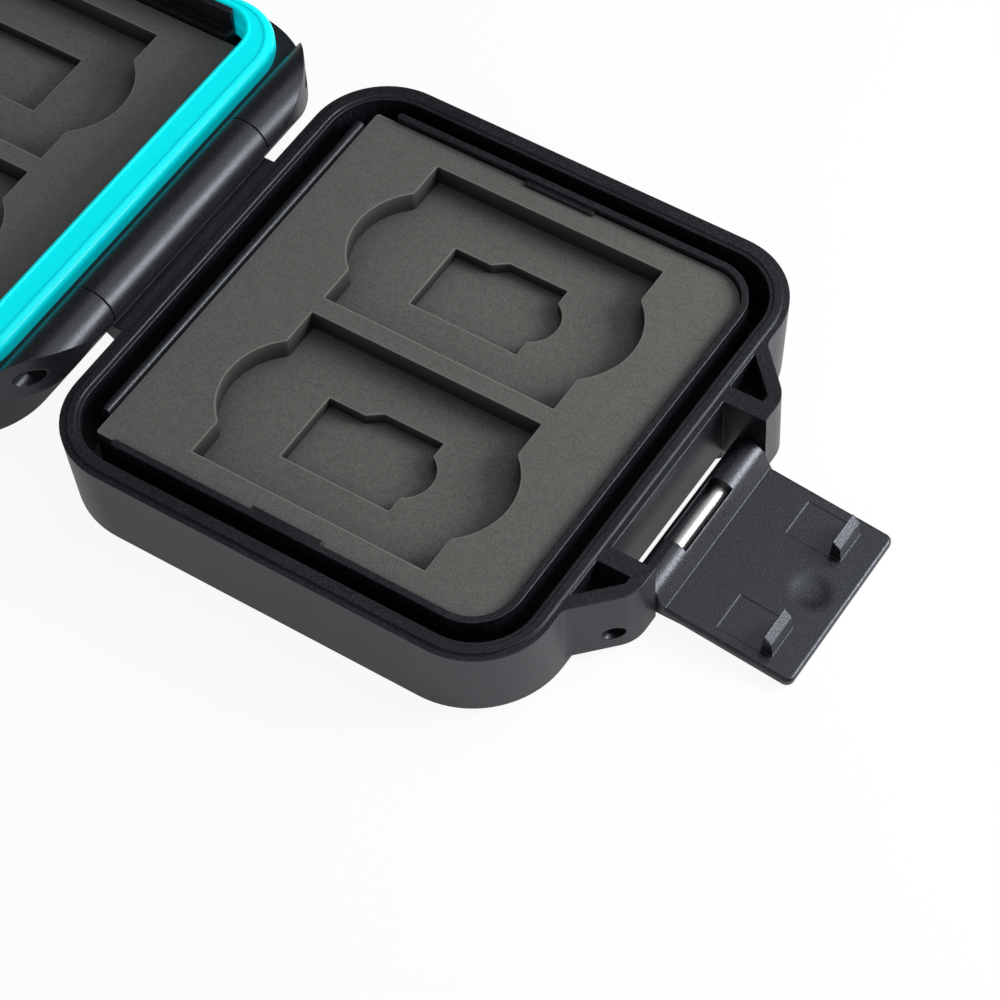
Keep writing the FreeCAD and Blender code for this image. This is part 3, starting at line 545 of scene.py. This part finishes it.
base_low, base_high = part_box("base_foam_sd")
lid_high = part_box("lid_foam_sd")[1]
turned = np.array([base_low[0] + lid_high[0], 0.0])
for layer, outlines in insert_outlines(base_low, base_high).items():
    for tray in ("base", "lid"):
        name = f"{tray}_foam_{layer}"
        low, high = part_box(name)
        placed = outlines if tray == "base" else [turned - line for line in outlines]
        pad = bpy.data.objects.new(f"{name}_pad", sheet_mesh(f"{name}_pad", placed, low[2], high[2]))
        bpy.context.scene.collection.objects.link(pad)
        pad.data.materials.append(foam.material)
        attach(pad, tray)
        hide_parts(name)
        print(pad.name, len(pad.data.polygons), "faces")

# %% [markdown]
# ## Floor and light
# The case was photographed on white. The floor reads as white to the camera and as pale grey to the gloss of
# the plastic, and it keeps a trace of the shadow. A small lamp stands low and close on the latch side and
# draws the bright lines along the edges, a large soft one hangs overhead, and a weak one lights from the
# camera's side.

# %% Floor
FLOOR_REACH = 3.0
FLOOR_GAP = 0.2 * MM
FLOOR_PAPER = (0.9, 0.9, 0.9, 1)
WHITE = (1, 1, 1, 1)
SEEN_WHITE = 0.92
MIRRORED_WHITE = 0.5
corner_signs = np.array([(-1, -1, 0), (1, -1, 0), (1, 1, 0), (-1, 1, 0)])
floor_mesh = bpy.data.meshes.new("floor")
floor_mesh.from_pydata((corner_signs * FLOOR_REACH).tolist(), [], [(0, 1, 2, 3)])
floor = bpy.data.objects.new("floor", floor_mesh)
floor.location.z = cad_box[0][2] - FLOOR_GAP
bpy.context.scene.collection.objects.link(floor)
paper = Finish("floor_white")
paper.set(Base_Color=FLOOR_PAPER, Roughness=1.0, Specular_IOR_Level=0.0)
seen = paper.node("ShaderNodeLightPath", output="Is Camera Ray")
mirrored = paper.node("ShaderNodeLightPath", output="Is Glossy Ray")
passed = paper.node("ShaderNodeLightPath", output="Is Transmission Ray")
white_share = seen * SEEN_WHITE + (mirrored + passed) * MIRRORED_WHITE
lit = Field(paper, paper.shader.outputs[0])
plain = paper.node("ShaderNodeEmission", None, {"Color": WHITE, "Strength": 1.0})
mixed = paper.node("ShaderNodeMixShader", None, {0: white_share, 1: lit, 2: plain})
paper.feed(paper.nodes["Material Output"].inputs["Surface"], mixed)
floor_mesh.materials.append(paper.material)
print("floor", 2 * FLOOR_REACH, "m across")

# %% Lamps and world
WORLD_STRENGTH = 0.14


def soft_lamp(name, position, target, width, power):
    """Square lamp that faces a point; metres and watts."""
    data = bpy.data.lights.new(name, "AREA")
    data.size = width
    data.energy = power
    lamp = bpy.data.objects.new(name, data)
    lamp.location = position
    aim = Vector(target) - Vector(position)
    lamp.rotation_euler = aim.to_track_quat("-Z", "Y").to_euler()
    lamp.visible_camera = False
    bpy.context.scene.collection.objects.link(lamp)
    print(name, width, "m wide,", power, "W,", round(aim.length, 2), "m away")


soft_lamp("latch_side_key", position=(0.185, 0.11, 0.105), target=(0, 0, 0.01), width=0.10, power=0.54)
soft_lamp("overhead_softbox", position=(0.32, 0.4, 0.8), target=(0, 0, 0), width=0.9, power=3.4)
soft_lamp("camera_side_fill", position=(0.1, -0.7, 0.45), target=(0, 0, 0), width=0.6, power=1.0)
world = bpy.data.worlds.new("studio")
world.use_nodes = True
world.node_tree.nodes["Background"].inputs["Color"].default_value = WHITE
world.node_tree.nodes["Background"].inputs["Strength"].default_value = WORLD_STRENGTH
bpy.context.scene.world = world
